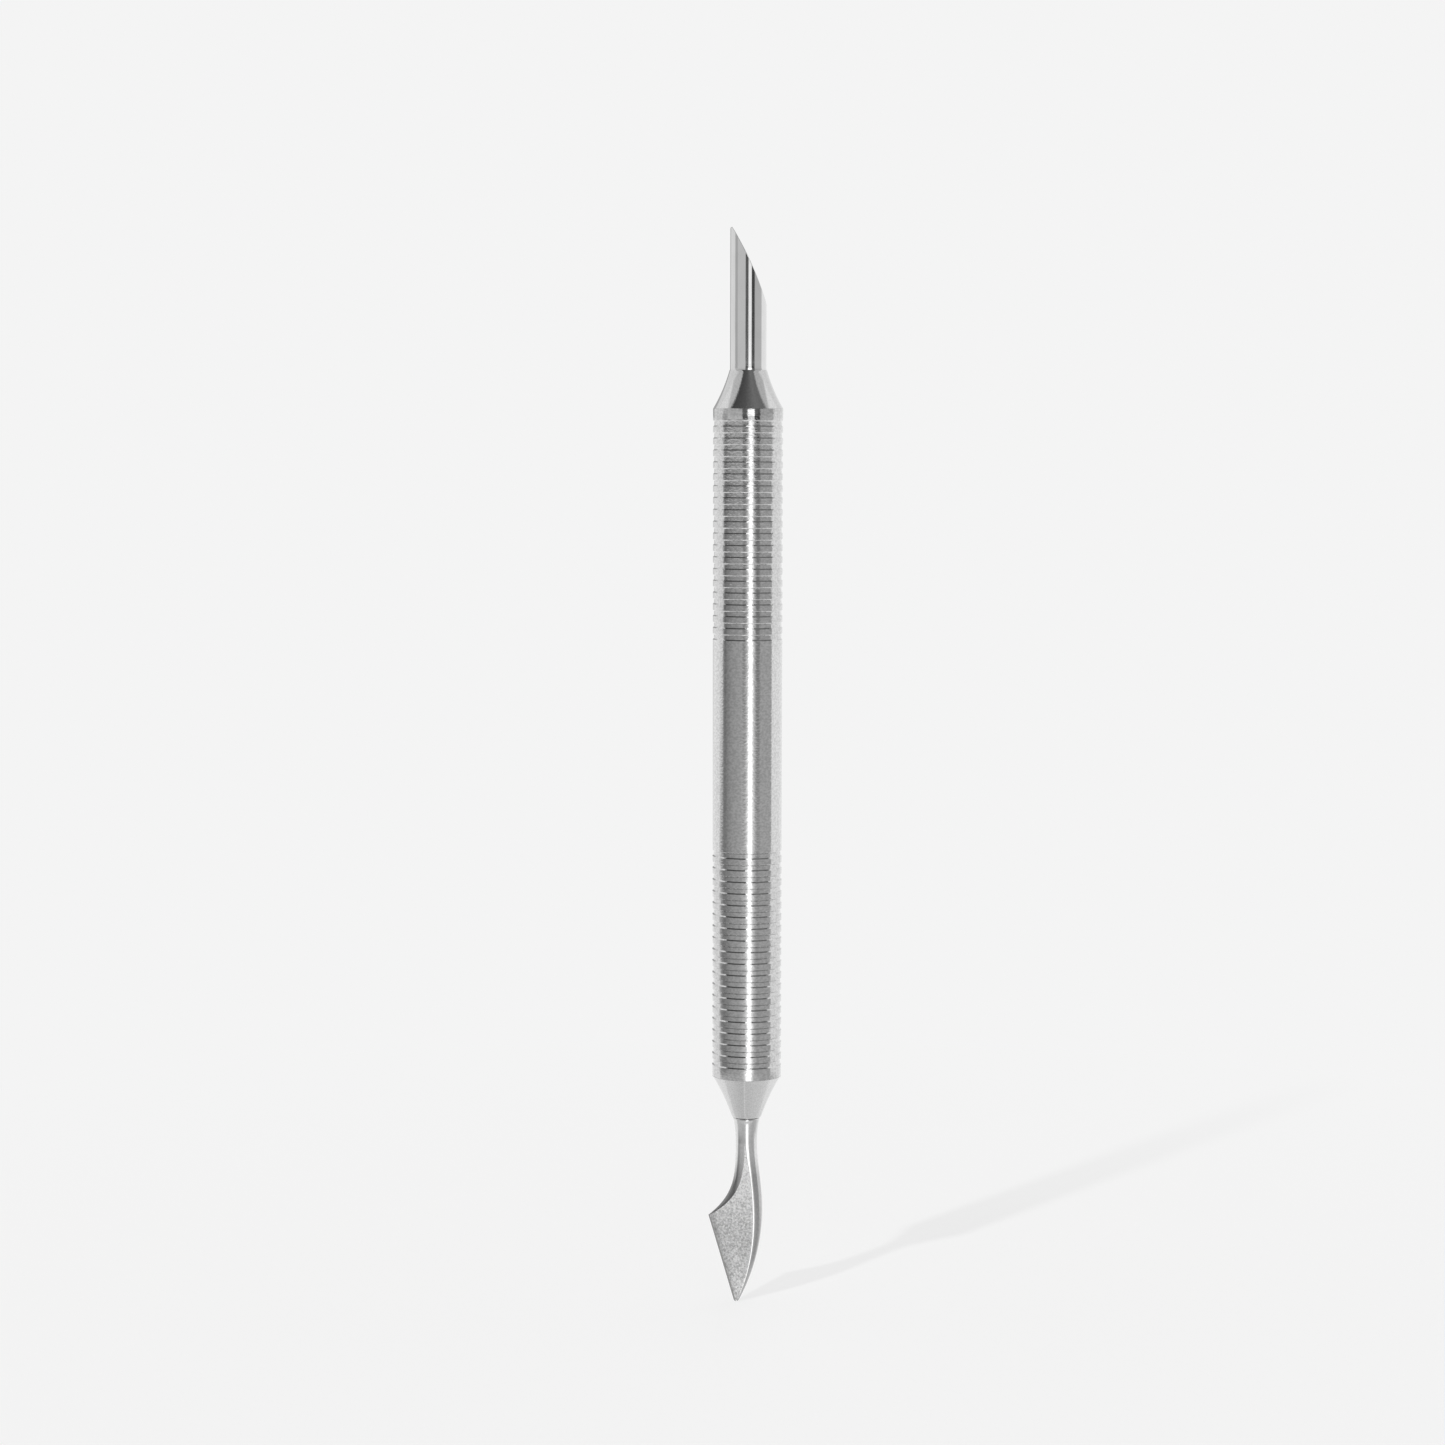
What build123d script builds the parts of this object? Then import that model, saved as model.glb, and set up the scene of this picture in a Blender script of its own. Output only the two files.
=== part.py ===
from build123d import *
import os
from math import cos, pi, radians, sqrt, tan

# A double-ended cuticle pusher in stainless steel.
# A hollow turned handle is plugged at both ends by a flared collar. The upper collar holds the
# tang of a slanted scoop pusher, and the lower one holds the tang of a hatchet blade.
# The tool stands upright: +Z runs along the handle towards the scoop, and +X points to the
# blade's spine. The scoop's rounded back faces -Y, and its trough opens towards +Y.
# The origin is on the axis, at the middle of the smooth grip. Sizes are in millimetres.

# --- Handle ---
HANDLE_RADIUS = 4.5
TUBE_WALL = 1.0
GRIP_LENGTH = 27.2
GROOVE_COUNT = 19
GROOVE_PITCH = 1.512
GROOVE_WIDTH = 0.8
GROOVE_DEPTH = 0.13
END_LAND = 1.51

BORE_RADIUS = HANDLE_RADIUS - TUBE_WALL
GROOVED_LENGTH = (GROOVE_COUNT - 1) * GROOVE_PITCH + GROOVE_WIDTH
HANDLE_HALF = GRIP_LENGTH / 2 + GROOVED_LENGTH + END_LAND

# --- Collars ---
SPIGOT_LENGTH = 6.0
GLUE_GAP = 0.02
SCOOP_COLLAR_LENGTH = 4.9
SCOOP_COLLAR_END_RADIUS = 2.4
SCOOP_COLLAR_HOLLOW = 0.17
BLADE_COLLAR_LENGTH = 5.42
BLADE_COLLAR_END_RADIUS = 1.93
BLADE_COLLAR_HOLLOW = 0.16

# --- Scoop pusher ---
SCOOP_RADIUS = 2.33
SCOOP_LENGTH = 18.08
SCOOP_WALL = 0.35
SCOOP_TANG_RADIUS = 1.6
SLANT_HEIGHT = 9.7
SLANT_SAGITTA = 0.3
TIP_FLAT = 0.25
HOLLOW_STRAIGHT = 8.0
RUN_OUT_RADIUS = 10.0
TROUGH_TURN = 75.0
LIP_TURN = 40.0
LIP_SETBACK = 0.45

# --- Hatchet blade ---
BLADE_LENGTH = 24.58
BLADE_TANG_RADIUS = 1.2
WEDGE_HALF_ANGLE = 11.0
EDGE_ROUND = 0.04
TIP_X = -1.55
EDGE_LEAN = 0.295
CORNER_HEIGHT = 11.5
SPINE_X = 2.08
SPINE_ARC_RADIUS = 25.6
SPINE_TOP_HEIGHT = 12.3
NECK_HEIGHT = 21.2
NECK_RADIUS = 1.42
ROOT_RADIUS = 1.8
FLANK_POWER = 3.6
ROOT_POWER = 2.2
NECK_FLAT = 0.04

TANG_LENGTH = 9.0
CLEAR = 1.0

SCOOP_SEAM_Z = HANDLE_HALF + SCOOP_COLLAR_LENGTH
SCOOP_TIP_Z = SCOOP_SEAM_Z + SCOOP_LENGTH
BLADE_SEAM_Z = -HANDLE_HALF - BLADE_COLLAR_LENGTH
BLADE_TIP_Z = BLADE_SEAM_Z - BLADE_LENGTH

# Half-section planes on the handle's two end faces: x is the radius, y leads out of the handle.
TOP_END = Plane(origin=(0, 0, HANDLE_HALF), x_dir=(1, 0, 0), z_dir=(0, -1, 0))
BOTTOM_END = Plane(origin=(0, 0, -HANDLE_HALF), x_dir=(1, 0, 0), z_dir=(0, 1, 0))


# --- Handle tube: smooth grip in the middle, a band of turned grooves at each side of it ---
# Each groove is cut by a round-nosed tool, whose radius follows from the groove's width and depth.
tool_radius = (GROOVE_WIDTH**2 / 4 + GROOVE_DEPTH**2) / (2 * GROOVE_DEPTH)
tool_centre = HANDLE_RADIUS - GROOVE_DEPTH + tool_radius
first_groove = (GRIP_LENGTH + GROOVE_WIDTH) / 2
groove_heights = [first_groove + GROOVE_PITCH * step for step in range(GROOVE_COUNT)]
groove_places = [(tool_centre, side * height) for side in (-1, 1) for height in groove_heights]

with BuildPart() as handle_tube:
    with BuildSketch(Plane.XY.offset(-HANDLE_HALF)):
        Circle(HANDLE_RADIUS)
        Circle(BORE_RADIUS, mode=Mode.SUBTRACT)
    extrude(amount=2 * HANDLE_HALF)
    with BuildSketch(Plane.XZ):
        with Locations(*groove_places):
            Circle(tool_radius)
    revolve(axis=Axis.Z, mode=Mode.SUBTRACT)


# --- Collars: a hollow-flared cone outside, a spigot in the tube, and a bore for the tang ---
def collar_section(handle_end, end_radius, hollow, length, tang_radius):
    """A collar's half-section, drawn outwards from the handle's end face."""
    bore = tang_radius + GLUE_GAP
    spigot = BORE_RADIUS - GLUE_GAP
    with BuildSketch(handle_end) as section:
        with BuildLine():
            flare = SagittaArc((HANDLE_RADIUS, 0), (end_radius, length), hollow)
            Polyline(
                flare @ 1,
                (bore, length),
                (bore, -SPIGOT_LENGTH),
                (spigot, -SPIGOT_LENGTH),
                (spigot, 0),
                flare @ 0,
            )
        make_face()
    return section.sketch


with BuildPart() as scoop_collar:
    section = collar_section(
        TOP_END,
        SCOOP_COLLAR_END_RADIUS,
        SCOOP_COLLAR_HOLLOW,
        SCOOP_COLLAR_LENGTH,
        SCOOP_TANG_RADIUS,
    )
    revolve(section, axis=Axis.Z)

with BuildPart() as blade_collar:
    section = collar_section(
        BOTTOM_END,
        BLADE_COLLAR_END_RADIUS,
        BLADE_COLLAR_HOLLOW,
        BLADE_COLLAR_LENGTH,
        BLADE_TANG_RADIUS,
    )
    revolve(section, axis=Axis.Z)


# --- Scoop pusher: a round shank hollowed from behind into a trough, its end cut at a slant ---
hollow_foot_z = SCOOP_TIP_Z - HOLLOW_STRAIGHT
slant_heel_z = SCOOP_TIP_Z - SLANT_HEIGHT

with BuildPart() as scoop_pusher:
    with BuildSketch(Plane.XY.offset(SCOOP_SEAM_Z)):
        Circle(SCOOP_RADIUS)
    extrude(amount=SCOOP_LENGTH)
    with BuildSketch(Plane.XY.offset(SCOOP_SEAM_Z)):
        Circle(SCOOP_TANG_RADIUS)
    extrude(amount=-TANG_LENGTH)

    # The trough: a round channel down the axis that sweeps out through the back of the shank.
    with BuildLine(Plane.YZ) as channel_path:
        straight = Line((0, SCOOP_TIP_Z + CLEAR), (0, hollow_foot_z))
        JernArc(straight @ 1, straight % 1, RUN_OUT_RADIUS, TROUGH_TURN)
    with BuildSketch(Plane.XY.offset(SCOOP_TIP_Z + CLEAR)):
        Circle(SCOOP_RADIUS - SCOOP_WALL)
    sweep(path=channel_path.line, mode=Mode.SUBTRACT)

    # The back above the trough's lips is cut away along the same sweep.
    with BuildSketch(Plane.YZ):
        with BuildLine():
            lip = Line((LIP_SETBACK, SCOOP_TIP_Z + CLEAR), (LIP_SETBACK, hollow_foot_z))
            run_out = JernArc(lip @ 1, lip % 1, RUN_OUT_RADIUS, LIP_TURN)
            far_side = SCOOP_RADIUS + CLEAR
            Polyline(run_out @ 1, (far_side, (run_out @ 1).Y), (far_side, SCOOP_TIP_Z + CLEAR), lip @ 0)
        make_face()
    extrude(amount=SCOOP_RADIUS + CLEAR, both=True, mode=Mode.SUBTRACT)

    # The slant: a slightly bowed cut from the tip on the left down to the heel on the right.
    with BuildSketch(Plane.XZ):
        with BuildLine():
            heel = (SCOOP_RADIUS, slant_heel_z)
            slant = SagittaArc((TIP_FLAT - SCOOP_RADIUS, SCOOP_TIP_Z), heel, SLANT_SAGITTA)
            Polyline(
                slant @ 1,
                (SCOOP_RADIUS + CLEAR, slant_heel_z),
                (SCOOP_RADIUS + CLEAR, SCOOP_TIP_Z + CLEAR),
                (TIP_FLAT - SCOOP_RADIUS, SCOOP_TIP_Z + CLEAR),
                slant @ 0,
            )
        make_face()
    extrude(amount=SCOOP_RADIUS + CLEAR, both=True, mode=Mode.SUBTRACT)


# --- Hatchet blade: a wedge that grows out of a round neck ---
# Each level of the blade is a wedge between two round ends. The large one is the spine, on the
# right. The small one is the cutting edge, or above the corner the hollow flank, on the left.
# Heights are measured up from the tip.
wedge_slope = tan(radians(WEDGE_HALF_ANGLE)) / sqrt(1 + EDGE_LEAN**2)
wedge_sine = wedge_slope / sqrt(1 + wedge_slope**2)


def edge_x(height):
    """The straight cutting edge, leaning out to the left as it rises."""
    return TIP_X - EDGE_LEAN * height


def neck_radius(height):
    """The round neck, which widens upwards into its root in the collar."""
    rise = (height - NECK_HEIGHT) / (BLADE_LENGTH - NECK_HEIGHT)
    return NECK_RADIUS + (ROOT_RADIUS - NECK_RADIUS) * rise**ROOT_POWER


def spine_x(height):
    """The spine: one arc up from the tip, then an easy curve in to the neck."""
    if height < SPINE_TOP_HEIGHT:
        drop = SPINE_TOP_HEIGHT - height
        return SPINE_X - SPINE_ARC_RADIUS + sqrt(SPINE_ARC_RADIUS**2 - drop**2)
    turn = pi * (height - SPINE_TOP_HEIGHT) / (NECK_HEIGHT - SPINE_TOP_HEIGHT)
    return NECK_RADIUS + (SPINE_X - NECK_RADIUS) * (1 + cos(turn)) / 2


def flank_x(height):
    """The hollow flank, from the neck down and out to the corner of the cutting edge."""
    fall = (NECK_HEIGHT - height) / (NECK_HEIGHT - CORNER_HEIGHT)
    return -NECK_RADIUS + (edge_x(CORNER_HEIGHT) + NECK_RADIUS) * fall**FLANK_POWER


def round_ends(height):
    """Centre and radius of the left and right round ends of the wedge at a height."""
    if height >= NECK_HEIGHT:
        radius = neck_radius(height) - NECK_FLAT
        return (-NECK_FLAT, radius), (NECK_FLAT, radius)
    apex = edge_x(height) + EDGE_ROUND - EDGE_ROUND / wedge_sine
    left_x = edge_x(height) if height <= CORNER_HEIGHT else flank_x(height)
    left = (left_x - apex * wedge_sine) / (1 - wedge_sine)
    right = (spine_x(height) + apex * wedge_sine) / (1 + wedge_sine)
    return (left, wedge_sine * (left - apex)), (right, wedge_sine * (right - apex))


def blade_section(height):
    """The blade's section at a height: two arcs joined by their common tangents."""
    (left, left_r), (right, right_r) = round_ends(height)
    lean = (right_r - left_r) / (right - left)
    square = sqrt(1 - lean**2)
    edge_end = (left - left_r * lean, left_r * square)
    spine_end = (right - right_r * lean, right_r * square)
    with BuildSketch(Plane.XY.offset(BLADE_TIP_Z + height)) as section:
        with BuildLine():
            back = Line(edge_end, spine_end)
            spine = ThreePointArc(back @ 1, (right + right_r, 0), (spine_end[0], -spine_end[1]))
            front = Line(spine @ 1, (edge_end[0], -edge_end[1]))
            ThreePointArc(front @ 1, (left - left_r, 0), back @ 0)
        make_face()
    return section.sketch.face()


cutting_levels = [0, 0.8, 2.5, 5, 7.5, 10, CORNER_HEIGHT]
flank_levels = [CORNER_HEIGHT, 12, 12.7, 13.5, 14.5, 16, 17.5, 19, 20.2]
neck_levels = [NECK_HEIGHT, 22, 23, BLADE_LENGTH]

with BuildPart() as hatchet_blade:
    loft([blade_section(level) for level in cutting_levels])
    loft([blade_section(level) for level in flank_levels + neck_levels])
    with BuildSketch(Plane.XY.offset(BLADE_SEAM_Z)):
        Circle(BLADE_TANG_RADIUS)
    extrude(amount=TANG_LENGTH)


# --- Labels and files ---
handle_tube.part.label = "handle_tube"
scoop_collar.part.label = "scoop_collar"
blade_collar.part.label = "blade_collar"
scoop_pusher.part.label = "scoop_pusher"
hatchet_blade.part.label = "hatchet_blade"

os.makedirs("parts", exist_ok=True)
export_step(handle_tube.part, "parts/handle_tube.step")
export_step(scoop_collar.part, "parts/scoop_collar.step")
export_step(blade_collar.part, "parts/blade_collar.step")
export_step(scoop_pusher.part, "parts/scoop_pusher.step")
export_step(hatchet_blade.part, "parts/hatchet_blade.step")
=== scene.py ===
from math import asin, cos, exp, pi, radians, sin, sqrt, tan

import bmesh
import bpy
import numpy as np
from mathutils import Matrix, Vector


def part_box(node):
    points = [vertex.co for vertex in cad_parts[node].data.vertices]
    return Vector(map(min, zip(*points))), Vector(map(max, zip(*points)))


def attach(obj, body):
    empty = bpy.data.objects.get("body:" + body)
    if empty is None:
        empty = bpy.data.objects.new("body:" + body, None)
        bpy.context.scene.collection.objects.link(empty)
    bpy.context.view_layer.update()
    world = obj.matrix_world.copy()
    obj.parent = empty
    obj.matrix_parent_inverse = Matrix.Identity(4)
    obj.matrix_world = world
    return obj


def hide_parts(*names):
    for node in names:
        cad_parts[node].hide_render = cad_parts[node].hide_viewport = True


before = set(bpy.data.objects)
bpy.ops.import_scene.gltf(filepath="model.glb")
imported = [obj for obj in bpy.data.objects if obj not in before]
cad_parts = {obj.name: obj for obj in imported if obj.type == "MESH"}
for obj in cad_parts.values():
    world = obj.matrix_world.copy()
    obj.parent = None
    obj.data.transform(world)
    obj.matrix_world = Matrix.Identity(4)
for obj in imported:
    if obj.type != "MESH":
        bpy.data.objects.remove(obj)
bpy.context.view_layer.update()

# A double-ended cuticle pusher in stainless steel, standing upright on the tip of its blade.
# Sizes are in millimetres in the row frame, and become metres in solid(). Angles are in degrees.
MM = 0.001


def node_box(node):
    """A CAD node's lowest and highest corners, in millimetres."""
    low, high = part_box(node)
    return low / MM, high / MM


handle_high = node_box("handle_tube")[1]
scoop_low, scoop_high = node_box("scoop_pusher")
blade_low, blade_high = node_box("hatchet_blade")

# --- Places taken from the frame ---
HANDLE_RADIUS = handle_high.y
HANDLE_HALF = handle_high.z
SCOOP_SEAM_Z = node_box("scoop_collar")[1].z
BLADE_SEAM_Z = node_box("blade_collar")[0].z
SCOOP_RADIUS = scoop_high.x
SCOOP_TIP_Z = scoop_high.z
BLADE_TIP_Z = blade_low.z
BLADE_LENGTH = BLADE_SEAM_Z - BLADE_TIP_Z
SCOOP_TANG_END = scoop_low.z
BLADE_TANG_END = blade_high.z

# --- Handle ---
BORE_RADIUS = 3.5
GRIP_LENGTH = 27.2
GROOVE_COUNT = 19
GROOVE_PITCH = 1.512
GROOVE_WIDTH = 0.8
GROOVE_DEPTH = 0.13
GROOVE_WALL = 0.15
HANDLE_ROUNDING = 0.025

# --- Collars ---
SCOOP_COLLAR_HOLLOW = 0.17
BLADE_COLLAR_HOLLOW = 0.16
SPIGOT_LENGTH = 6.0
GLUE_GAP = 0.02
SCOOP_COLLAR_RADIUS = 2.4
BLADE_COLLAR_RADIUS = 1.93
COLLAR_ROUNDING = 0.05

# --- Scoop ---
SCOOP_WALL = 0.35
SCOOP_TANG_RADIUS = 1.6
SLANT_HEIGHT = 9.7
SLANT_SAGITTA = 0.3
TIP_FLAT = 0.25
HOLLOW_STRAIGHT = 8.0
RUN_OUT_RADIUS = 10.0
LIP_SETBACK = 0.45
EDGE_CROWN = 0.18
LIP_CROWN = 0.3
SHANK_TOP = 10.2
SCOOP_COVE = 0.02
COVE_HEIGHT = 0.4

# --- Hatchet blade: heights are measured up from its tip ---
BLADE_TANG_RADIUS = 1.2
WEDGE_HALF_ANGLE = 11.7
CREASE_ANGLE = -3.0
TIP_X = -1.55
EDGE_LEAN = 0.295
EDGE_HALF = 0.05
HONE_WIDTH = 0.15
CORNER_HEIGHT = 11.5
SPINE_X = 2.08
SPINE_ARC_RADIUS = 25.6
SPINE_TOP_HEIGHT = 12.3
FACE_FADE_HEIGHT = 17.0
FACE_TOP_HEIGHT = 21.2
FADE_POWER = 1.5
THICKENING = 3.0
NECK_HEIGHT = 21.2
NECK_RADIUS = 1.42
ROOT_RADIUS = 1.8
FLANK_POWER = 3.6
ROOT_POWER = 2.2
SHOULDER = 0.14
SEAM_GAP = 0.14
TIP_ROUND = 0.2
TIP_SIZE = 0.3
HONE_ROUND = 0.012
HONE_ANGLE = 24.0
HONE_SHARE = 0.3

# --- Mesh fineness ---
# An edge that turns by more than SHARP_ANGLE is shaded sharp.
SHARP_ANGLE = 35.0
WELD_DISTANCE = 0.0005
# A corner's rounding takes up at most this share of the straight on each side of it.
LONGEST_ROUNDING = 0.49
ROUNDING_STEPS = 3
AROUND = 240
FLARE_STEPS = 24
BACK_STEPS = 64
LIP_STEPS = 8
SHANK_ROWS = 77
SLANT_ROWS = 110
HALVINGS = 40
SETTLING_STEPS = 12
EDGE_STEPS = 14
SPINE_STEPS = 44
FACE_STEPS = 20
TIP_ROWS = 8
CUTTING_ROWS = 100
FLANK_ROWS = 124
NECK_ROWS = 30
SHOULDER_ROWS = 9

# --- Finishes ---
# The two ranges in which most of a noise's values lie: all but its extremes, and its middle.
WIDE = (0.3, 0.7)
NARROW = (0.35, 0.65)

# Painted shade: the handle's bands of grooves are darkened this much all over, in place of the shade in
# their grooves, from this far outside the smooth grip.
GROOVE_SHADE_TONE = 0.94
GROOVE_SHADE_FADE = 0.1

# Painted light and shade: tones of the blade's flat faces and of its ground steel, at shares of its length
# up from the tip.
FACE_LIGHT_AND_SHADE = [
    (0.0, 0.88), (0.08, 0.85), (0.17, 0.73), (0.27, 0.67), (0.38, 0.67), (0.48, 0.74), (0.6, 0.87),
    (0.68, 0.96),
]
GROUND_SHADE_TONES = [(0.68, 0.5), (0.8, 0.7)]

# Painted shade: a face is darker alongside the cutting edge, and is full again this far from it.
EDGE_SHADE_SPAN = (0.1, 1.2)
EDGE_SHADE_TONE = 0.72

# How much painted shade lies on the hollow flank, at shares of the blade's length and between two places in
# x.
FLANK_SHADE_PLACES = [(0.46, 0.0), (0.49, 1.0), (0.66, 1.0), (0.76, 0.0)]
FLANK_SHADE_SIDE = (-1.6, -1.0)
FLANK_SHADE_TONE = 0.45

# --- Studio ---
# The floor's radius is in metres. The shadow on it fades out between two distances from the tool.
FLOOR_RADIUS = 3.0
FLOOR_SIDES = 96
FLOOR_TONE = 0.35
FLOOR_GLOW = 0.667
SHADOW_WHOLE_TO = 50.0
SHADOW_GONE_AT = 190.0
BACKDROP_TONE = 0.905
KEY_STRENGTH = 1.1
KEY_SOFTNESS = 2.2
KEY_AZIMUTH = -35.0
KEY_ELEVATION = 32.0
CAMERA_X = -3.29
CAMERA_DISTANCE = 423.7
CAMERA_HEIGHT = 112.3
CAMERA_PITCH = 4.9
CAMERA_ROLL = -0.105
CAMERA_NEAREST = 10.0
LENS = 82.21

# What the steel mirrors: (azimuth, brightness). Azimuth 0 is the front, -Y, and 90 is +X.
# BAND_PEAK is the greatest brightness: a colour ramp only holds shares of it.
BAND_PEAK = 2.6
STRAIGHT_DOWN = [(-180, 1.35), (180, 1.35)]
BENEATH = [
    (-180, 1.05), (-118, 1.02), (-112, 0.84), (-60, 0.72), (-26, 0.68), (-20, 0.7), (-18, 0.95),
    (-15, 0.95), (-13, 0.72), (30, 0.75), (90, 0.82), (112, 0.9), (118, 1.03), (180, 1.05),
]
DEEP = [
    (-180, 1.0), (-104, 1.0), (-94, 0.62), (-35, 0.56), (-14, 0.66), (-6, 1.2), (2, 2.4), (10, 2.4),
    (16, 1.2), (24, 0.66), (60, 0.5), (95, 0.6), (120, 0.85), (140, 1.0), (180, 1.05),
]
LOW = [
    (-180, 1.05), (-108, 1.0), (-98, 0.42), (-88, 0.27), (-78, 0.28), (-55, 0.42), (-24, 0.5), (-17, 0.6),
    (-8, 0.72), (-2, 1.0), (7, 2.5), (13, 1.7), (19, 0.95), (26, 0.62), (34, 0.46), (44, 0.5), (83, 0.5),
    (88, 1.0), (180, 1.08),
]
LEVEL = [
    (-180, 0.75), (-150, 0.85), (-142, 1.08), (-93, 0.98), (-87, 0.4), (-81, 0.2), (-74, 0.28), (-50, 0.4),
    (-19, 0.48), (-15, 0.34), (-10, 0.34), (-3, 0.6), (2, 1.2), (8, 2.6), (13, 1.9), (19, 0.8), (29, 0.26),
    (37, 0.26), (43, 0.47), (84, 0.47), (88, 1.02), (180, 1.06),
]
RIM = [
    (-180, 0.75), (-142, 0.95), (-93, 0.95), (-87, 0.5), (-78, 0.5), (-60, 0.7), (-16, 0.74), (-10, 0.6),
    (2, 1.2), (8, 2.6), (13, 1.9), (19, 0.8), (25, 0.56), (33, 0.6), (43, 0.68), (86, 0.66), (92, 1.05),
    (180, 1.08),
]
HIGH = [
    (-180, 0.35), (-152, 0.45), (-144, 0.9), (-97, 0.86), (-91, 0.5), (-76, 0.48), (-70, 0.66), (-21, 0.66),
    (-17, 0.12), (-2, 0.12), (1, 1.05), (18, 1.05), (21, 0.06), (37, 0.06), (41, 0.55), (87, 0.57),
    (94, 0.99), (180, 0.99),
]
GLINT = [
    (-180, 0.4), (-152, 0.5), (-144, 0.9), (-95, 0.9), (-88, 0.6), (-22, 0.6), (-17, 0.15), (-5, 0.2),
    (0, 1.8), (18, 1.8), (23, 0.2), (37, 0.1), (42, 0.5), (90, 0.5), (97, 0.95), (180, 0.95),
]
SHADE = [
    (-180, 0.4), (-152, 0.5), (-142, 0.9), (-66, 0.9), (-56, 0.15), (58, 0.15), (68, 0.9), (180, 0.9),
]
ABOVE = [
    (-180, 0.5), (-155, 0.55), (-146, 1.0), (-94, 1.0), (-88, 0.69), (40, 0.6), (88, 0.62), (94, 1.03),
    (180, 1.03),
]
# The zones above straight down. Each takes over from the one under it between two elevations.
ZONES = [
    (-82, -75, BENEATH),
    (-33, -31, DEEP),
    (-23, -9, LOW),
    (-9, -2, LEVEL),
    (0.1, 0.4, RIM),
    (0.6, 1.1, HIGH),
    (5, 7, GLINT),
    (14, 17, SHADE),
    (27, 31, ABOVE),
]
# A dark panel overhead. Its middle, half width and softness are in x / z of the direction to it.
# It fades in between two elevations, and its tones are given at shares of its width from the left.
CEILING = (0.01, 0.86, 0.05)
CEILING_RISE = (27, 31)
CEILING_TONES = [(0.0, 0.07), (0.4, 0.12), (0.7, 0.22), (1.0, 0.19)]
# A narrow lamp right overhead, in the same terms.
LAMP = (0.06, 0.1, 0.04)
LAMP_RISE = (64, 72)
LAMP_TONE = 2.2


# --- Mesh helpers ---
def solid(name, points, faces, materials, node, choices=None):
    """A closed mesh from points in millimetres, smooth between its sharp edges, for one CAD node.

    choices holds each face's material number, where there is more than one material.
    """
    mesh = bpy.data.meshes.new(name)
    mesh.from_pydata((np.asarray(points) * MM).tolist(), [], faces)
    for material in materials:
        mesh.materials.append(material)
    if choices:
        mesh.polygons.foreach_set("material_index", choices)
    build = bmesh.new()
    build.from_mesh(mesh)
    for face in build.faces:
        face.smooth = True
    bmesh.ops.remove_doubles(build, verts=build.verts, dist=WELD_DISTANCE * MM)
    bmesh.ops.recalc_face_normals(build, faces=build.faces)
    for edge in build.edges:
        edge.smooth = edge.calc_face_angle(0) < radians(SHARP_ANGLE)
    build.to_mesh(mesh)
    build.free()
    piece = bpy.data.objects.new(name, mesh)
    bpy.context.scene.collection.objects.link(piece)
    weighted = piece.modifiers.new("flat faces stay flat", "WEIGHTED_NORMAL")
    weighted.keep_sharp = True
    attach(piece, "root")
    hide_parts(node)
    return piece


def loop_faces(loops, points_per_loop, closed=False):
    """Quads that join each closed loop of points to the next one."""
    faces = []
    steps = loops if closed else loops - 1
    for row in range(steps):
        here = row * points_per_loop
        there = (row + 1) % loops * points_per_loop
        for k in range(points_per_loop):
            after = (k + 1) % points_per_loop
            faces.append((here + k, here + after, there + after, there + k))
    return faces


def skin(loops, close_last=True):
    """Points and faces of a skin over closed loops. Its first end, and its last if asked, is closed."""
    points = np.concatenate(loops)
    size = len(loops[0])
    faces = loop_faces(len(loops), size)
    ends = [0, len(loops) - 1] if close_last else [0]
    for end in ends:
        middle = len(points)
        points = np.vstack([points, loops[end].mean(axis=0)])
        faces += [(middle, end * size + k, end * size + (k + 1) % size) for k in range(size)]
    return points, faces


def rounded(corners):
    """A closed outline of (radius, z) corners, each with its own rounding, as a list of points."""
    outline = []
    for k, (x, z, rounding) in enumerate(corners):
        corner = Vector((x, z))
        before = Vector(corners[k - 1][:2]) - corner
        after = Vector(corners[(k + 1) % len(corners)][:2]) - corner
        if rounding == 0:
            outline.append(corner)
            continue
        half_turn = before.angle(after) / 2
        shorter = min(before.length, after.length)
        reach = min(rounding / tan(half_turn), shorter * LONGEST_ROUNDING)
        radius = reach * tan(half_turn)
        inward = (before.normalized() + after.normalized()).normalized()
        centre = corner + inward * radius / sin(half_turn)
        start = corner + before.normalized() * reach - centre
        turn = start.angle_signed(corner + after.normalized() * reach - centre)
        for step in range(ROUNDING_STEPS + 1):
            angle = -turn * step / ROUNDING_STEPS
            outline.append(centre + Vector((
                start.x * cos(angle) - start.y * sin(angle),
                start.x * sin(angle) + start.y * cos(angle),
            )))
    return outline


def lathe(name, outline, materials, node):
    """A closed solid of revolution about Z from a closed half-section of (radius, z) points."""
    turns = np.linspace(0, 2 * pi, AROUND, endpoint=False)
    section = np.array([tuple(point) for point in outline])
    across = np.stack([np.cos(turns), np.sin(turns)], axis=1)
    points = [(r * c, r * s, z) for r, z in section for c, s in across]
    faces = loop_faces(len(section), AROUND, closed=True)
    return solid(name, points, faces, materials, node)


def arc_between(start, end, sagitta, steps):
    """Points of a circular arc between two (radius, z) points, bulging to the left of its chord."""
    start, end = Vector(start), Vector(end)
    chord = end - start
    side = Vector((-chord.y, chord.x)).normalized()
    radius = (chord.length**2 / 4 + sagitta**2) / (2 * sagitta)
    half = asin(chord.length / 2 / radius)
    centre = (start + end) / 2 + side * (sagitta - radius)
    along = chord.normalized()
    return [
        centre + radius * (side * cos(angle) + along * sin(angle))
        for angle in np.linspace(-half, half, steps + 1)
    ]


# --- Node helpers ---
def grey(tone):
    return (tone, tone, tone, 1)


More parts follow.
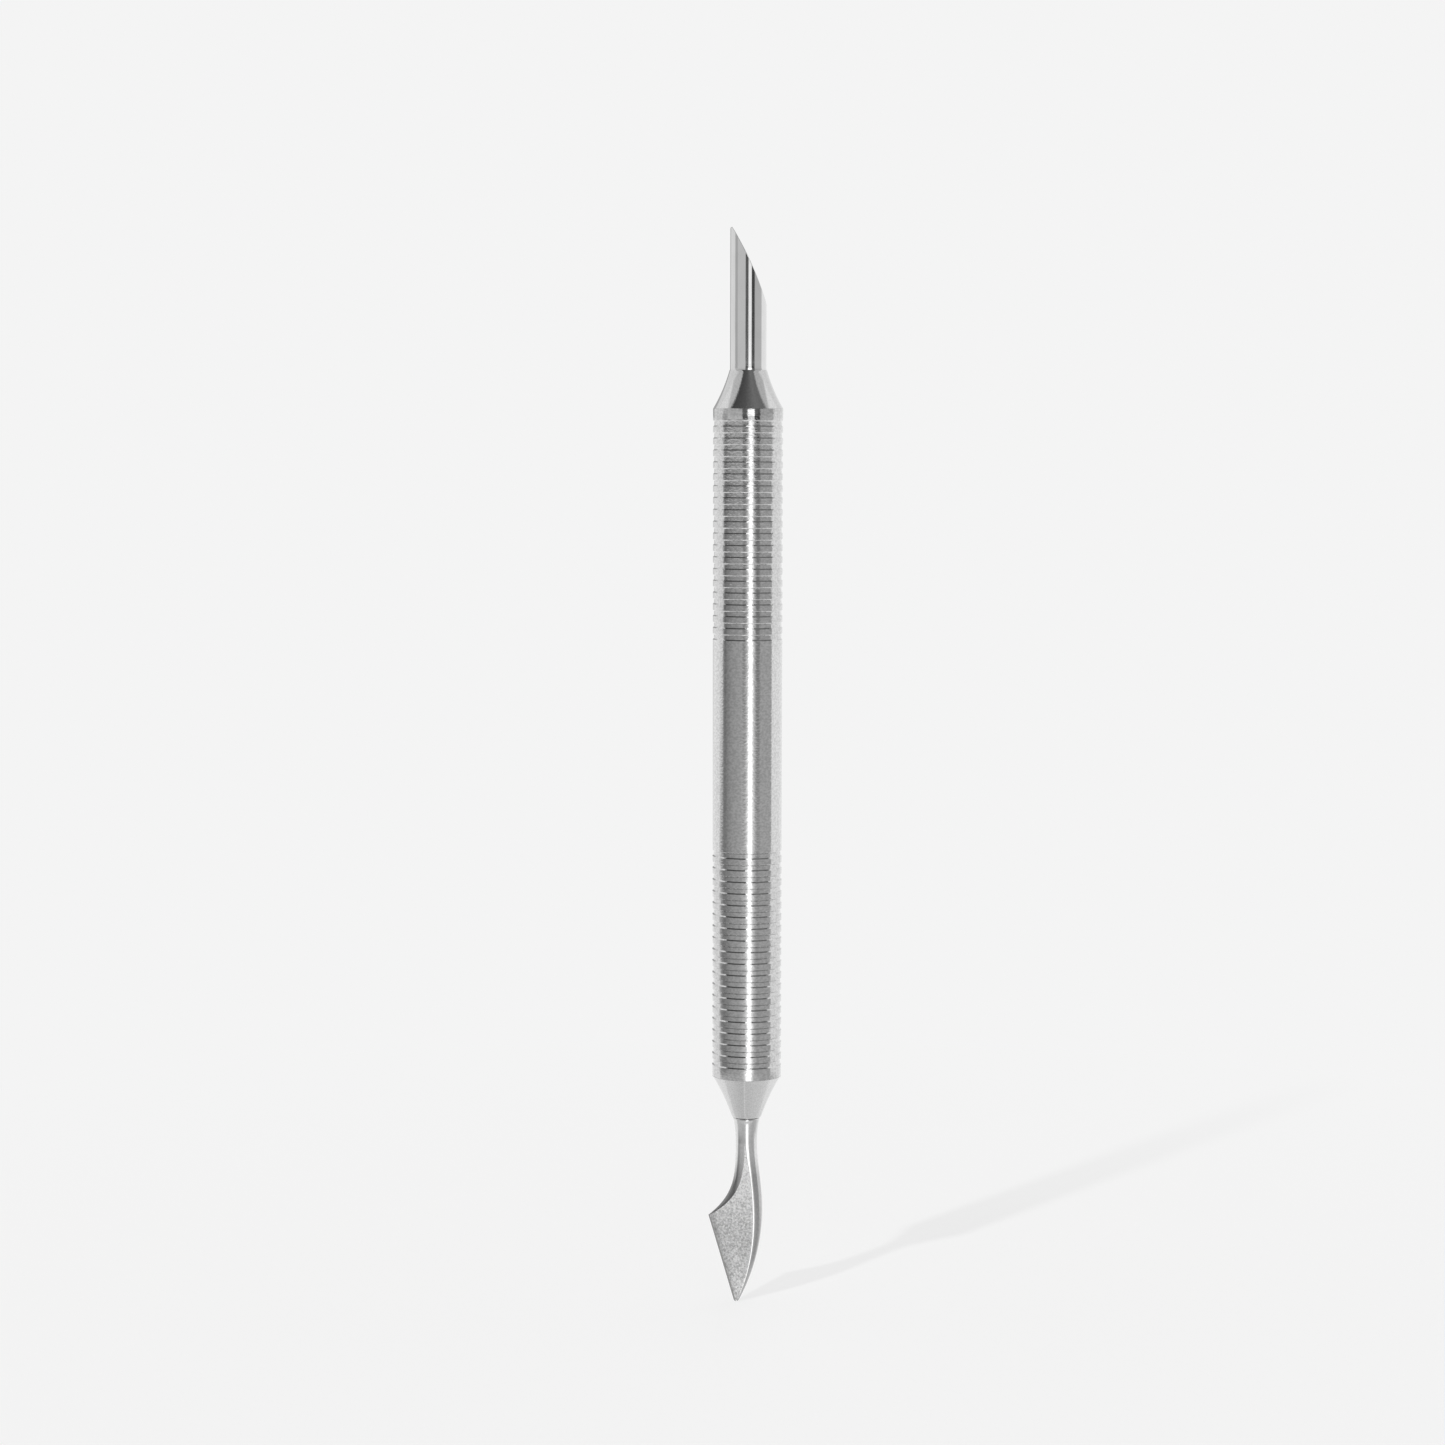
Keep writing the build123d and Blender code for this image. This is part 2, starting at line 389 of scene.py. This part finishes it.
class Nodes:
    """Short calls for building a shader tree."""

    def __init__(self, tree):
        self.tree = tree
        tree.nodes.clear()

    def add(self, kind, inputs=None, **settings):
        node = self.tree.nodes.new("ShaderNode" + kind)
        for name, value in settings.items():
            setattr(node, name, value)
        for name, value in (inputs or {}).items():
            if isinstance(value, bpy.types.NodeSocket):
                self.tree.links.new(value, node.inputs[name])
            else:
                node.inputs[name].default_value = value
        return node

    def axes(self, vector):
        """The x, y and z of a vector."""
        return self.add("SeparateXYZ", {0: vector}).outputs

    def math(self, operation, a, b=0.0):
        return self.add("Math", {0: a, 1: b}, operation=operation).outputs[0]

    def ramp(self, factor, stops):
        """A grey that passes through (place, tone) stops."""
        node = self.add("ValToRGB", {"Fac": factor})
        colours = node.color_ramp
        while len(colours.elements) < len(stops):
            colours.elements.new(0.5)
        for element, (place, value) in zip(colours.elements, stops):
            element.position = place
            element.color = grey(value)
        return node.outputs["Color"]

    def spread(self, value, low, high, to_low, to_high, smooth=False):
        """A value mapped from one range to another, and held at its ends."""
        kind = "SMOOTHSTEP" if smooth else "LINEAR"
        return self.add(
            "MapRange",
            {"Value": value, "From Min": low, "From Max": high, "To Min": to_low, "To Max": to_high},
            interpolation_type=kind,
        ).outputs["Result"]

    def grain(self, coordinates, per_mm, detail=2.0, roughness=0.5):
        """Noise with about per_mm features to a millimetre along each axis."""
        per_metre = [count / MM for count in per_mm]
        scaled = self.add("VectorMath", {0: coordinates, 1: per_metre}, operation="MULTIPLY")
        return self.add(
            "TexNoise",
            {"Vector": scaled.outputs[0], "Scale": 1.0, "Detail": detail, "Roughness": roughness},
        ).outputs["Fac"]


def finish_of(name):
    """A new material's node builder, its object coordinates in metres and its metal shader."""
    material = bpy.data.materials.new(name)
    material.use_nodes = True
    nodes = Nodes(material.node_tree)
    shader = nodes.add("BsdfPrincipled", {"Metallic": 1.0})
    nodes.add("OutputMaterial", {"Surface": shader.outputs["BSDF"]})
    return material, nodes, nodes.add("TexCoord").outputs["Object"], shader


def wire(nodes, shader, tone, roughness, heights):
    """Joins a shader to its tone, its roughness and its (height, depth in millimetres) layers of bump."""
    nodes.tree.links.new(tone, shader.inputs["Base Color"])
    nodes.tree.links.new(roughness, shader.inputs["Roughness"])
    normal = None
    for height, depth in heights:
        inputs = {"Height": height, "Distance": depth * MM, "Strength": 1.0}
        if normal is not None:
            inputs["Normal"] = normal
        normal = nodes.add("Bump", inputs).outputs["Normal"]
    nodes.tree.links.new(normal, shader.inputs["Normal"])


def turned_steel():
    """Satin turned steel: fine rings round the handle broken up by specks, and painted shade that darkens
    the bands of grooves.
    """
    material, nodes, place, shader = finish_of("turned steel")
    rings = nodes.grain(place, (0.5, 0.5, 9.0))
    specks = nodes.grain(place, (3.0, 3.0, 4.0), detail=1.0, roughness=0.4)
    patches = nodes.grain(place, (0.35, 0.35, 0.25))
    height = nodes.math("ABSOLUTE", nodes.axes(place)[2])
    grip_end = GRIP_LENGTH / 2 * MM
    # Painted shade: the bands of grooves are evenly darkened, in place of the shade in their grooves.
    groove_shade = nodes.spread(height, grip_end, grip_end + GROOVE_SHADE_FADE * MM, 1.0, GROOVE_SHADE_TONE)
    speckled = nodes.spread(specks, *NARROW, 0.56, 0.7)
    tone = nodes.math("MULTIPLY", speckled, groove_shade)
    roughness = nodes.spread(patches, *WIDE, 0.05, 0.08)
    wire(nodes, shader, tone, roughness, [(rings, 0.002), (specks, 0.009)])
    return material


def collar_steel():
    """Finely ground steel: close rings of grinding marks and a fine even grain."""
    material, nodes, place, shader = finish_of("collar steel")
    rings = nodes.grain(place, (1.2, 1.2, 14.0))
    specks = nodes.grain(place, (6.0, 6.0, 6.0), detail=3.0, roughness=0.65)
    tone = nodes.spread(specks, *NARROW, 0.57, 0.7)
    roughness = nodes.spread(specks, *WIDE, 0.06, 0.1)
    wire(nodes, shader, tone, roughness, [(rings, 0.0008), (specks, 0.004)])
    return material


def polished_steel():
    """Mirror-polished steel with the faint lengthwise lines of its last polish."""
    material, nodes, place, shader = finish_of("polished steel")
    lines = nodes.grain(place, (9.0, 9.0, 0.4))
    haze = nodes.grain(place, (0.8, 0.8, 0.5), detail=3.0)
    tone = nodes.spread(haze, *WIDE, 0.7, 0.74)
    roughness = nodes.spread(lines, *WIDE, 0.05, 0.09)
    wire(nodes, shader, tone, roughness, [(lines, 0.0006)])
    return material


def height_on_blade(nodes, place):
    """Height above the blade's tip, as a share of the blade's length."""
    return nodes.spread(nodes.axes(place)[2], BLADE_TIP_Z * MM, BLADE_SEAM_Z * MM, 0.0, 1.0)


def ground_steel():
    """The blade's ground and polished edges, spine and neck, with painted shade: darker low on the blade
    than at the neck, and darkest on the hollow flank.
    """
    material, nodes, place, shader = finish_of("ground steel")
    lines = nodes.grain(place, (8.0, 8.0, 0.6), detail=3.0)
    scuffs = nodes.grain(place, (5.0, 5.0, 3.0), detail=3.0)
    height = height_on_blade(nodes, place)
    # Painted shade: the ground steel is darker low on the blade and lighter at the neck.
    body = nodes.ramp(height, GROUND_SHADE_TONES)
    # Painted shade on the hollow flank, on its left side.
    left = nodes.spread(nodes.axes(place)[0], *[x * MM for x in FLANK_SHADE_SIDE], 1.0, 0.0)
    flank = nodes.math("MULTIPLY", left, nodes.ramp(height, FLANK_SHADE_PLACES))
    flank_shaded = nodes.math("MULTIPLY", body, nodes.spread(flank, 0.0, 1.0, 1.0, FLANK_SHADE_TONE))
    tone = nodes.math("MULTIPLY", flank_shaded, nodes.spread(scuffs, *WIDE, 0.93, 1.07))
    roughness = nodes.spread(lines, *WIDE, 0.08, 0.13)
    wire(nodes, shader, tone, roughness, [(lines, 0.0012), (scuffs, 0.002)])
    return material


def blasted_steel():
    """Bead-blasted steel: a matte skin of small dimples, with painted light and shade that make it brighter
    towards the tip and the neck, and painted shade beside the cutting edge.
    """
    material, nodes, place, shader = finish_of("blasted steel")
    dimples = nodes.grain(place, (3.6, 3.6, 3.6), detail=3.0, roughness=0.7)
    patches = nodes.grain(place, (0.8, 0.8, 0.8))
    # Painted light and shade: the faces are brighter towards the tip and the neck.
    body = nodes.ramp(height_on_blade(nodes, place), FACE_LIGHT_AND_SHADE)
    x, _, z = nodes.axes(place)
    # Painted shade beside the cutting edge, by distance from it.
    lean = nodes.math("MULTIPLY", nodes.math("SUBTRACT", z, BLADE_TIP_Z * MM), EDGE_LEAN)
    from_edge = nodes.math("SUBTRACT", nodes.math("ADD", x, lean), TIP_X * MM)
    edge_shade = nodes.spread(from_edge, *[gap * MM for gap in EDGE_SHADE_SPAN], EDGE_SHADE_TONE, 1.0)
    grainy = nodes.math("MULTIPLY", body, nodes.spread(dimples, *NARROW, 0.66, 1.34))
    tone = nodes.math("MULTIPLY", grainy, edge_shade)
    roughness = nodes.spread(patches, *WIDE, 0.4, 0.48)
    wire(nodes, shader, tone, roughness, [(dimples, 0.05)])
    return material


# --- Handle ---
def groove_corners(height):
    """The four sharp corners of one groove, from its upper edge down to its lower edge."""
    floor = HANDLE_RADIUS - GROOVE_DEPTH
    half = GROOVE_WIDTH / 2
    return [
        (HANDLE_RADIUS, height + half, 0),
        (floor, height + half - GROOVE_WALL, 0),
        (floor, height - half + GROOVE_WALL, 0),
        (HANDLE_RADIUS, height - half, 0),
    ]


def build_handle(material):
    """The tube, with a band of grooves above and below its smooth grip."""
    first = (GRIP_LENGTH + GROOVE_WIDTH) / 2
    heights = [first + GROOVE_PITCH * step for step in range(GROOVE_COUNT)]
    heights = sorted(heights + [-height for height in heights], reverse=True)
    corners = [
        (BORE_RADIUS, HANDLE_HALF, 0),
        (HANDLE_RADIUS, HANDLE_HALF, HANDLE_ROUNDING),
    ]
    for height in heights:
        corners += groove_corners(height)
    corners += [
        (HANDLE_RADIUS, -HANDLE_HALF, HANDLE_ROUNDING),
        (BORE_RADIUS, -HANDLE_HALF, 0),
    ]
    return lathe("turned_handle", rounded(corners), [material], "handle_tube")


# --- Collars ---
def build_collar(name, node, material, side, seam_z, end_radius, hollow, tang_radius):
    """A hollow-flared cone outside the handle, a spigot inside it and a bore for the tang."""
    handle_end = side * HANDLE_HALF
    flare = arc_between((HANDLE_RADIUS, HANDLE_HALF), (end_radius, abs(seam_z)), hollow, FLARE_STEPS)
    bore = tang_radius + GLUE_GAP
    spigot = BORE_RADIUS - GLUE_GAP
    corners = [(r, side * z, 0) for r, z in flare[:-1]]
    corners += [
        (end_radius, seam_z, COLLAR_ROUNDING),
        (bore, seam_z, 0),
        (bore, handle_end - side * SPIGOT_LENGTH, 0),
        (spigot, handle_end - side * SPIGOT_LENGTH, 0),
        (spigot, handle_end, 0),
    ]
    return lathe(name, rounded(corners), [material], node)


# --- Scoop ---
def slant_depth(x):
    """Depth of the slanted working edge below the tip, at each x."""
    start = np.array([TIP_FLAT - SCOOP_RADIUS, 0.0])
    end = np.array([SCOOP_RADIUS, -SLANT_HEIGHT])
    chord = np.linalg.norm(end - start)
    radius = (chord**2 / 4 + SLANT_SAGITTA**2) / (2 * SLANT_SAGITTA)
    outward = np.array([start[1] - end[1], end[0] - start[0]]) / chord
    centre = (start + end) / 2 - (radius - SLANT_SAGITTA) * outward
    return np.where(x > start[0], -centre[1] - np.sqrt(radius**2 - (x - centre[0]) ** 2), 0.0)


def hollow_point(angle, drop):
    """The hollow's (x, y) at an angle round its bore and a drop below the start of its run-out."""
    bore = SCOOP_RADIUS - SCOOP_WALL
    reach = RUN_OUT_RADIUS + bore * np.cos(angle)
    return bore * np.sin(angle), RUN_OUT_RADIUS - np.sqrt(np.maximum(reach**2 - drop**2, 0.0))


def hollow_end(drop, lip):
    """The angle at which the hollow meets the lips, or the shank's round once the lips have run out."""
    low, high = np.zeros_like(drop), np.full_like(drop, pi)
    for _ in range(HALVINGS):
        middle = (low + high) / 2
        x, y = hollow_point(middle, drop)
        hollow = (y < lip) & (np.hypot(x, y) < SCOOP_RADIUS)
        low = np.where(hollow, middle, low)
        high = np.where(hollow, high, middle)
    return low


def inside_round(x, y):
    """A point of the hollow, moved onto the shank's round where the hollow has left it."""
    return x, np.minimum(y, np.sqrt(np.maximum(SCOOP_RADIUS**2 - x**2, 0.0)))


def crown(wall):
    """Height of a rounded edge across a wall, from 0 at its two faces to 1 at its middle."""
    return np.sqrt(1 - (2 * wall - 1) ** 2)


def scoop_point(side, wall, depth):
    """The scoop's (x, y) at a depth below its tip.

    side runs from -1 at one lip to 1 at the other, and wall from 0 outside to 1 in the hollow.
    """
    drop = np.maximum(depth - HOLLOW_STRAIGHT, 0.0)
    rise = RUN_OUT_RADIUS - np.sqrt(RUN_OUT_RADIUS**2 - np.minimum(drop, RUN_OUT_RADIUS) ** 2)
    lip = np.minimum(LIP_SETBACK + rise, SCOOP_RADIUS)
    inner_end = hollow_end(drop, lip)
    end_x, end_y = inside_round(*hollow_point(inner_end, drop))
    outer_end = np.minimum(np.arccos(-lip / SCOOP_RADIUS), np.arctan2(end_x, -end_y))
    outer_x = SCOOP_RADIUS * np.sin(side * outer_end)
    outer_y = -SCOOP_RADIUS * np.cos(side * outer_end)
    inner_x, inner_y = inside_round(*hollow_point(side * inner_end, drop))
    x = outer_x + (inner_x - outer_x) * wall
    y = outer_y + (inner_y - outer_y) * wall
    on_lip = np.abs(side) == 1
    return x, y + LIP_CROWN * crown(wall) * np.abs(inner_x - outer_x) * on_lip


def slanted_row(side, wall, share):
    """A row of points a share of the way from the shank up to the slanted edge."""
    depth = np.full(side.shape, SHANK_TOP)
    for _ in range(SETTLING_STEPS):
        x, y = scoop_point(side, wall, depth)
        top = slant_depth(x) + EDGE_CROWN * (1 - crown(wall))
        depth = SHANK_TOP + (top - SHANK_TOP) * share
    return np.stack([x, y, SCOOP_TIP_Z - depth], axis=-1)


def build_scoop(material):
    """The tang, the round shank and the slanted scoop, then a rounded rim along the slant."""
    round_back = np.linspace(-1, 1, BACK_STEPS + 1)
    across = (1 - np.cos(np.linspace(0, pi, LIP_STEPS + 1))) / 2
    side = np.concatenate([round_back, np.ones(LIP_STEPS - 1), round_back[::-1], -np.ones(LIP_STEPS - 1)])
    wall = np.concatenate([0 * round_back, across[1:-1], 0 * round_back + 1, across[-2:0:-1]])
    length = SCOOP_TIP_Z - SCOOP_SEAM_Z

    loops = []
    for depth in np.linspace(length, SHANK_TOP, SHANK_ROWS):
        x, y = scoop_point(side, wall, np.full(side.shape, depth))
        foot = max(0.0, 1 - (length - depth) / COVE_HEIGHT)
        flare = 1 + SCOOP_COVE * foot**2 / SCOOP_RADIUS
        loops.append(np.stack([x * flare, y * flare, np.full(side.shape, SCOOP_TIP_Z - depth)], axis=-1))
    for share in np.linspace(0, 1, SLANT_ROWS)[1:]:
        loops.append(slanted_row(side, wall, share))
    shrink = np.array([SCOOP_TANG_RADIUS / SCOOP_RADIUS] * 2 + [1])
    tang_top = loops[0] * shrink
    tang_end = tang_top.copy()
    tang_end[:, 2] = SCOOP_TANG_END
    points, faces = skin([tang_end, tang_top] + loops, close_last=False)

    first = len(points)
    for w in across:
        points = np.vstack([points, slanted_row(round_back, np.full(round_back.shape, w), 1.0)])
    for row in range(LIP_STEPS):
        for k in range(BACK_STEPS):
            here = first + row * (BACK_STEPS + 1) + k
            faces.append((here, here + 1, here + BACK_STEPS + 2, here + BACK_STEPS + 1))
    return solid("polished_scoop", points, faces, [material], "scoop_pusher")


# --- Hatchet blade ---
WEDGE_SLOPE = tan(radians(WEDGE_HALF_ANGLE)) / sqrt(1 + EDGE_LEAN**2)
WEDGE_SINE = WEDGE_SLOPE / sqrt(1 + WEDGE_SLOPE**2)
WEDGE_LEAN = asin(WEDGE_SINE)


def edge_x(height):
    return TIP_X - EDGE_LEAN * height


def spine_x(height):
    if height < SPINE_TOP_HEIGHT:
        drop = SPINE_TOP_HEIGHT - height
        return SPINE_X - SPINE_ARC_RADIUS + sqrt(SPINE_ARC_RADIUS**2 - drop**2)
    turn = pi * (height - SPINE_TOP_HEIGHT) / (NECK_HEIGHT - SPINE_TOP_HEIGHT)
    return NECK_RADIUS + (SPINE_X - NECK_RADIUS) * (1 + cos(turn)) / 2


def apex_x(height):
    """Where the two face planes would meet.

    Above the corner it slows down and stops, so that the steel thickens no further.
    """
    over = max(height - CORNER_HEIGHT, 0)
    return edge_x(height - over + THICKENING * (1 - exp(-over / THICKENING))) - EDGE_HALF / WEDGE_SLOPE


def flank_x(height):
    fall = (NECK_HEIGHT - height) / (NECK_HEIGHT - CORNER_HEIGHT)
    return -NECK_RADIUS + (edge_x(CORNER_HEIGHT) + NECK_RADIUS) * fall**FLANK_POWER


def wedge_ends(height):
    """The wedge's round ends: left centre and radius, right centre and radius, half of the right turn.

    The left round is tangent to the faces. The right one, the spine, meets them in a faint crease.
    """
    apex = apex_x(height)
    left_x = edge_x(height) if height <= CORNER_HEIGHT else flank_x(height)
    left = (left_x - apex * WEDGE_SINE) / (1 - WEDGE_SINE)
    crease = radians(CREASE_ANGLE)
    spine = WEDGE_SLOPE * (spine_x(height) - apex) / (cos(crease) + WEDGE_SLOPE * (1 - sin(crease)))
    return np.array([left, WEDGE_SINE * (left - apex), spine_x(height) - spine, spine, pi / 2 - crease])


def round_ends(middle, radius):
    """The same five numbers for a plain round, on which the faces have shrunk to two points."""
    return np.array([middle, radius, middle, radius, pi / 2 + WEDGE_LEAN])


def blade_loop(ends, honed=False):
    """One level of the blade: the edge or flank, the front face, the spine and the back face."""
    left, left_radius, right, right_radius, right_turn = ends
    bend = np.linspace(WEDGE_LEAN - pi / 2, pi / 2 - WEDGE_LEAN, EDGE_STEPS + 1)
    edge = np.stack([left - left_radius * np.cos(bend), -left_radius * np.sin(bend)], axis=-1)
    turn = np.linspace(-right_turn, right_turn, SPINE_STEPS + 1)
    spine = np.stack([right + right_radius * np.cos(turn), right_radius * np.sin(turn)], axis=-1)
    run = spine[0] - edge[-1]
    hone = min(HONE_WIDTH / max(run[0], HONE_WIDTH), HONE_SHARE)
    face = edge[-1] + run * np.linspace(hone, 1, FACE_STEPS + 1)[:-1, None]
    if honed:
        bend = np.linspace(-1, 1, EDGE_STEPS + 1) * radians(90 - HONE_ANGLE)
        sharp_x = left - left_radius + HONE_ROUND * (1 - np.cos(bend))
        edge = np.stack([sharp_x, -HONE_ROUND * np.sin(bend)], axis=-1)
    return np.vstack([edge, face, spine, face[::-1] * (1, -1)])


def raised(loop, height):
    return np.column_stack([loop, np.full(len(loop), BLADE_TIP_Z + height)])


def upper_loop(height):
    """A level between the corner and the neck, where the faces narrow and the steel gets round."""
    share = min(max((height - FACE_FADE_HEIGHT) / (FACE_TOP_HEIGHT - FACE_FADE_HEIGHT), 0), 1)
    wedge = wedge_ends(height)
    neck = round_ends((spine_x(height) + flank_x(height)) / 2, (spine_x(height) - flank_x(height)) / 2)
    return blade_loop(wedge + (neck - wedge) * share**FADE_POWER)


def face_choices(loops, faces):
    """Material 1 for the two flat faces, and 0 for everything else."""
    front = range(EDGE_STEPS + 1, EDGE_STEPS + 1 + FACE_STEPS)
    back_start = EDGE_STEPS + 1 + FACE_STEPS + SPINE_STEPS
    flat = set(front) | set(range(back_start, back_start + FACE_STEPS))
    size = len(loops[0])
    top = BLADE_TIP_Z + FACE_TOP_HEIGHT
    choices = [int(k in flat and loop[0][2] < top) for loop in loops[:-1] for k in range(size)]
    return choices + [0] * (faces - len(choices))


def neck_radius(height):
    rise = (height - NECK_HEIGHT) / (BLADE_LENGTH - NECK_HEIGHT)
    return NECK_RADIUS + (ROOT_RADIUS - NECK_RADIUS) * rise**ROOT_POWER


def build_blade(ground_material, face_material):
    """The rounded tip, the cutting edge, the hollow flank, the neck with its shoulder, and the tang."""
    loops = []
    for height in TIP_ROUND * (1 - np.cos(np.linspace(0, pi / 2, TIP_ROWS))):
        full = blade_loop(wedge_ends(height), honed=True)
        middle = full.mean(axis=0)
        size = TIP_SIZE + (1 - TIP_SIZE) * sqrt(1 - (1 - height / TIP_ROUND) ** 2)
        loops.append(raised(middle + (full - middle) * size, height))
    for height in np.linspace(TIP_ROUND, CORNER_HEIGHT, CUTTING_ROWS)[1:]:
        loops.append(raised(blade_loop(wedge_ends(height), honed=True), height))
    for height in np.linspace(CORNER_HEIGHT, NECK_HEIGHT, FLANK_ROWS)[1:]:
        loops.append(raised(upper_loop(height), height))
    shoulder_start = BLADE_LENGTH - SEAM_GAP - SHOULDER
    for height in np.linspace(NECK_HEIGHT, shoulder_start, NECK_ROWS)[1:]:
        loops.append(raised(blade_loop(round_ends(0, neck_radius(height))), height))
    for turn in np.linspace(0, pi / 2, SHOULDER_ROWS)[1:]:
        radius = neck_radius(shoulder_start) - SHOULDER * (1 - cos(turn))
        loops.append(raised(blade_loop(round_ends(0, radius)), shoulder_start + SHOULDER * sin(turn)))
    tang = blade_loop(round_ends(0, BLADE_TANG_RADIUS))
    loops.append(raised(tang, BLADE_LENGTH - SEAM_GAP))
    loops.append(raised(tang, BLADE_TANG_END - BLADE_TIP_Z))
    points, faces = skin(loops)
    materials = [ground_material, face_material]
    choices = face_choices(loops, len(faces))
    return solid("ground_hatchet", points, faces, materials, "hatchet_blade", choices)


# --- Studio ---
def build_floor():
    """A pale floor. Away from the tool it turns into a plain glow, so that the shadow fades out."""
    mesh = bpy.data.meshes.new("floor")
    build = bmesh.new()
    bmesh.ops.create_circle(build, cap_ends=True, segments=FLOOR_SIDES, radius=FLOOR_RADIUS)
    build.to_mesh(mesh)
    build.free()
    floor = bpy.data.objects.new("floor", mesh)
    floor.location.z = BLADE_TIP_Z * MM
    floor.visible_glossy = False
    bpy.context.scene.collection.objects.link(floor)
    material = bpy.data.materials.new("pale floor")
    material.use_nodes = True
    nodes = Nodes(material.node_tree)
    lit = nodes.add("BsdfDiffuse", {"Color": grey(FLOOR_TONE)})
    glow = nodes.add("Emission", {"Color": grey(1), "Strength": FLOOR_GLOW})
    near = nodes.add("AddShader", {0: lit.outputs[0], 1: glow.outputs[0]})
    far = nodes.add("Emission", {"Color": grey(1), "Strength": BACKDROP_TONE})
    place = nodes.add("TexCoord").outputs["Object"]
    distance = nodes.add("VectorMath", {0: place}, operation="LENGTH").outputs["Value"]
    fade = nodes.spread(distance, SHADOW_WHOLE_TO * MM, SHADOW_GONE_AT * MM, 0.0, 1.0)
    both = nodes.add("MixShader", {0: fade, 1: near.outputs[0], 2: far.outputs[0]})
    nodes.add("OutputMaterial", {"Surface": both.outputs[0]})
    mesh.materials.append(material)


def build_world():
    """A pale studio. The steel mirrors its bands of light and shade, and the camera sees a plain tone."""
    world = bpy.data.worlds.new("studio")
    bpy.context.scene.world = world
    world.use_nodes = True
    nodes = Nodes(world.node_tree)
    x, y, z = nodes.axes(nodes.add("TexCoord").outputs["Generated"])
    azimuth = nodes.math("ARCTAN2", x, nodes.math("MULTIPLY", y, -1.0))
    around = nodes.spread(azimuth, -pi, pi, 0.0, 1.0)
    sideways = nodes.math("DIVIDE", x, nodes.math("MAXIMUM", z, 0.01))

    def bands(stops):
        """The brightness all round at one elevation, as a share of BAND_PEAK."""
        return nodes.ramp(around, [((angle + 180) / 360, tone / BAND_PEAK) for angle, tone in stops])

    def mix(share, below, above):
        return nodes.add("Mix", {0: share, 6: below, 7: above}, data_type="RGBA").outputs[2]

    def risen(start, end, smooth=False):
        """0 below one elevation and 1 above another."""
        return nodes.spread(z, sin(radians(start)), sin(radians(end)), 0.0, 1.0, smooth=smooth)

    def panel_share(middle, half_width, softness, rise):
        """1 inside a panel overhead that runs from front to back, and 0 outside it or under it."""
        off_middle = nodes.math("ABSOLUTE", nodes.math("SUBTRACT", sideways, middle))
        inside = nodes.spread(off_middle, half_width - softness, half_width + softness, 1.0, 0.0)
        return nodes.math("MULTIPLY", inside, risen(*rise))

    tone = bands(STRAIGHT_DOWN)
    for start, end, stops in ZONES:
        tone = mix(risen(start, end, smooth=True), tone, bands(stops))
    middle, half_width, _ = CEILING
    across = nodes.spread(sideways, middle - half_width, middle + half_width, 0.0, 1.0)
    panel = nodes.ramp(across, [(place, shade / BAND_PEAK) for place, shade in CEILING_TONES])
    tone = mix(panel_share(*CEILING, CEILING_RISE), tone, panel)
    tone = mix(panel_share(*LAMP, LAMP_RISE), tone, grey(LAMP_TONE / BAND_PEAK))
    seen = nodes.add("Background", {"Color": grey(BACKDROP_TONE)})
    mirrored = nodes.add("Background", {"Color": tone, "Strength": BAND_PEAK})
    camera_ray = nodes.add("LightPath").outputs["Is Camera Ray"]
    both = nodes.add("MixShader", {0: camera_ray, 1: mirrored.outputs[0], 2: seen.outputs[0]})
    nodes.add("OutputWorld", {"Surface": both.outputs[0]})


def build_key_light():
    """A soft light from the front left that throws one faint shadow."""
    light = bpy.data.lights.new("key", "SUN")
    light.energy = KEY_STRENGTH
    light.angle = radians(KEY_SOFTNESS)
    lamp = bpy.data.objects.new("key", light)
    bpy.context.scene.collection.objects.link(lamp)
    azimuth, elevation = radians(KEY_AZIMUTH), radians(KEY_ELEVATION)
    towards = Vector((sin(azimuth) * cos(elevation), -cos(azimuth) * cos(elevation), sin(elevation)))
    lamp.rotation_euler = towards.to_track_quat("Z", "Y").to_euler()
    lamp.visible_glossy = False


def build_camera():
    """A camera in front of the tool, above its middle and looking slightly down."""
    data = bpy.data.cameras.new("camera")
    data.lens = LENS
    data.clip_start = CAMERA_NEAREST * MM
    camera = bpy.data.objects.new("camera", data)
    bpy.context.scene.collection.objects.link(camera)
    camera.location = Vector((CAMERA_X, -CAMERA_DISTANCE, BLADE_TIP_Z + CAMERA_HEIGHT)) * MM
    camera.rotation_euler = (radians(90 - CAMERA_PITCH), radians(CAMERA_ROLL), 0)
    bpy.context.scene.camera = camera


turned = turned_steel()
collar = collar_steel()
polished = polished_steel()
ground = ground_steel()
blasted = blasted_steel()
build_handle(turned)
build_collar(
    "flared_scoop_collar",
    "scoop_collar",
    collar,
    side=1,
    seam_z=SCOOP_SEAM_Z,
    end_radius=SCOOP_COLLAR_RADIUS,
    hollow=SCOOP_COLLAR_HOLLOW,
    tang_radius=SCOOP_TANG_RADIUS,
)
build_collar(
    "flared_blade_collar",
    "blade_collar",
    collar,
    side=-1,
    seam_z=BLADE_SEAM_Z,
    end_radius=BLADE_COLLAR_RADIUS,
    hollow=BLADE_COLLAR_HOLLOW,
    tang_radius=BLADE_TANG_RADIUS,
)
build_scoop(polished)
build_blade(ground, blasted)
build_floor()
build_world()
build_key_light()
build_camera()
bpy.context.scene.view_settings.view_transform = "Standard"
